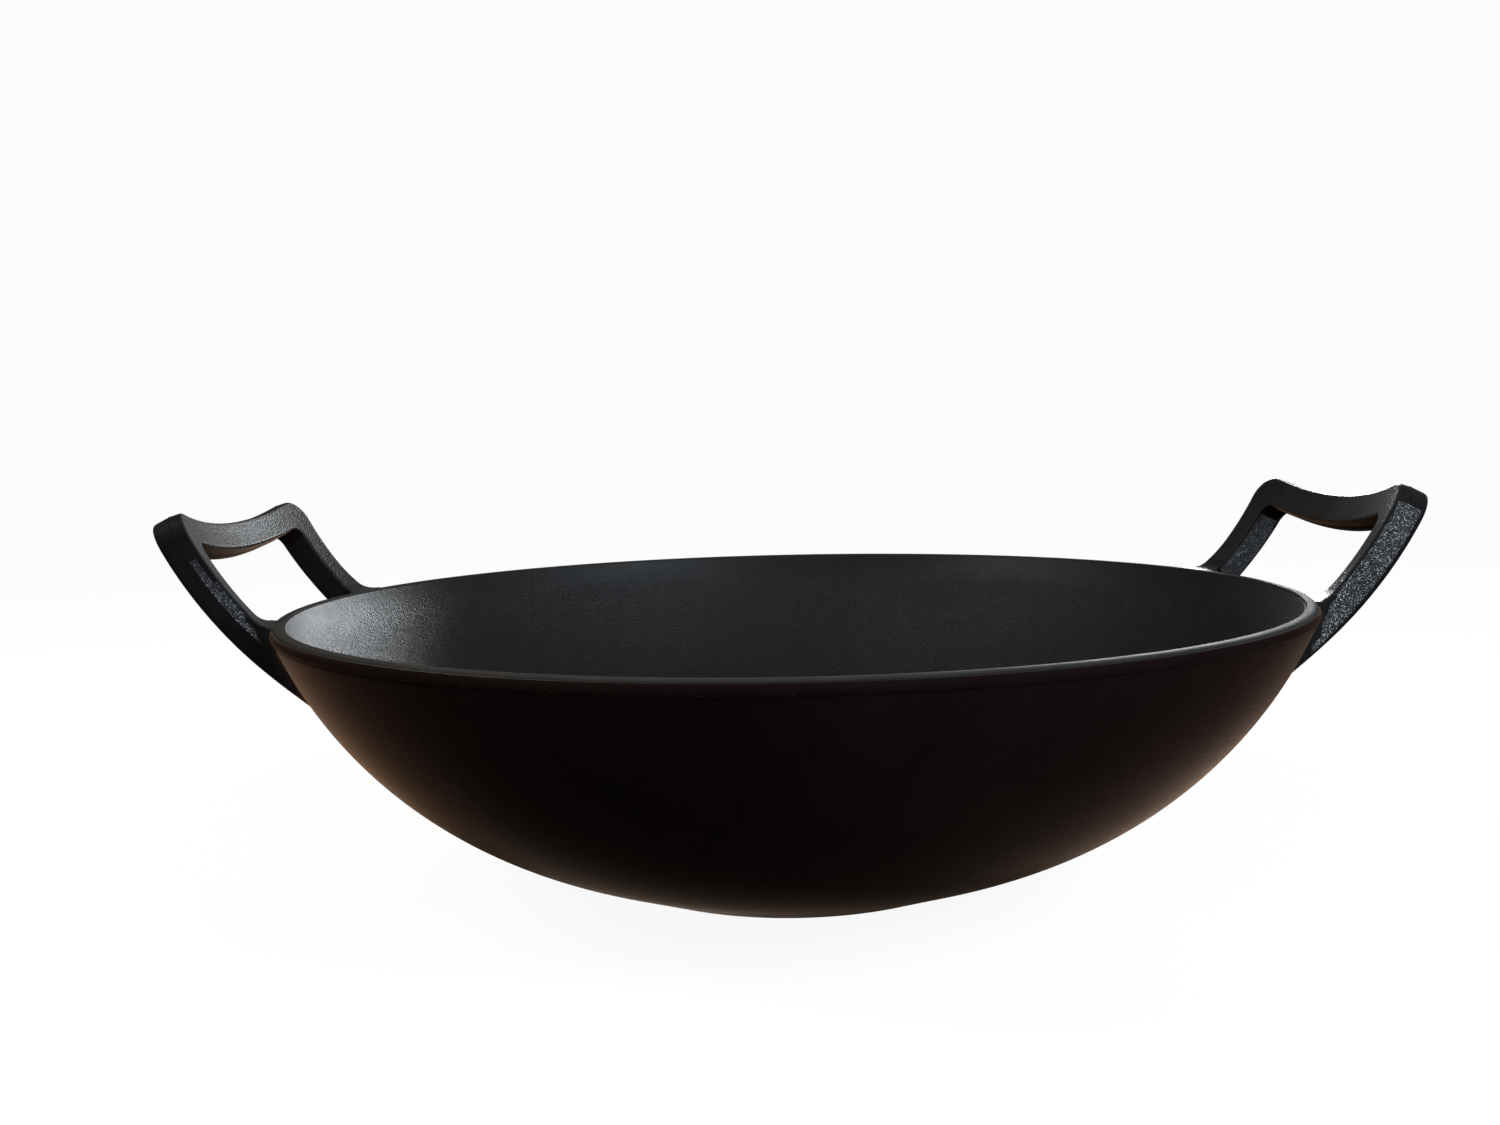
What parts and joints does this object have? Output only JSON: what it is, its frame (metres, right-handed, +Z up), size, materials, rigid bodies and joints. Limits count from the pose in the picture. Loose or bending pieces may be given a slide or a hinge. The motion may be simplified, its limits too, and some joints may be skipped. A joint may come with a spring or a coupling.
{
  "type": "cast iron wok",
  "caption": "Flat-footed cast iron wok: a round flaring bowl with a ground lip and a raised loop handle at each side, for stir-frying on a stovetop.",
  "frame": {"origin": "centre of the foot's underside, on the surface that the wok stands on", "axes": "+Z up, X through the middles of both handles with +X at the right-hand one, Y across the bowl"},
  "size_m": [0.4222, 0.356, 0.1323],
  "materials": {
    "seasoned_iron": "black seasoned iron, fine cast grain, satin",
    "ground_rim": "ground lip, seasoned, worn lighter",
    "turned_foot": "turned flat, seasoned",
    "handle_iron": "black seasoned iron, coarse cast grain"
  },
  "bodies": {
    "root": {"bowl": "seasoned_iron", "rim": "ground_rim", "foot": "turned_foot", "handle_left": "handle_iron", "handle_right": "handle_iron"}
  },
  "joints": []
}
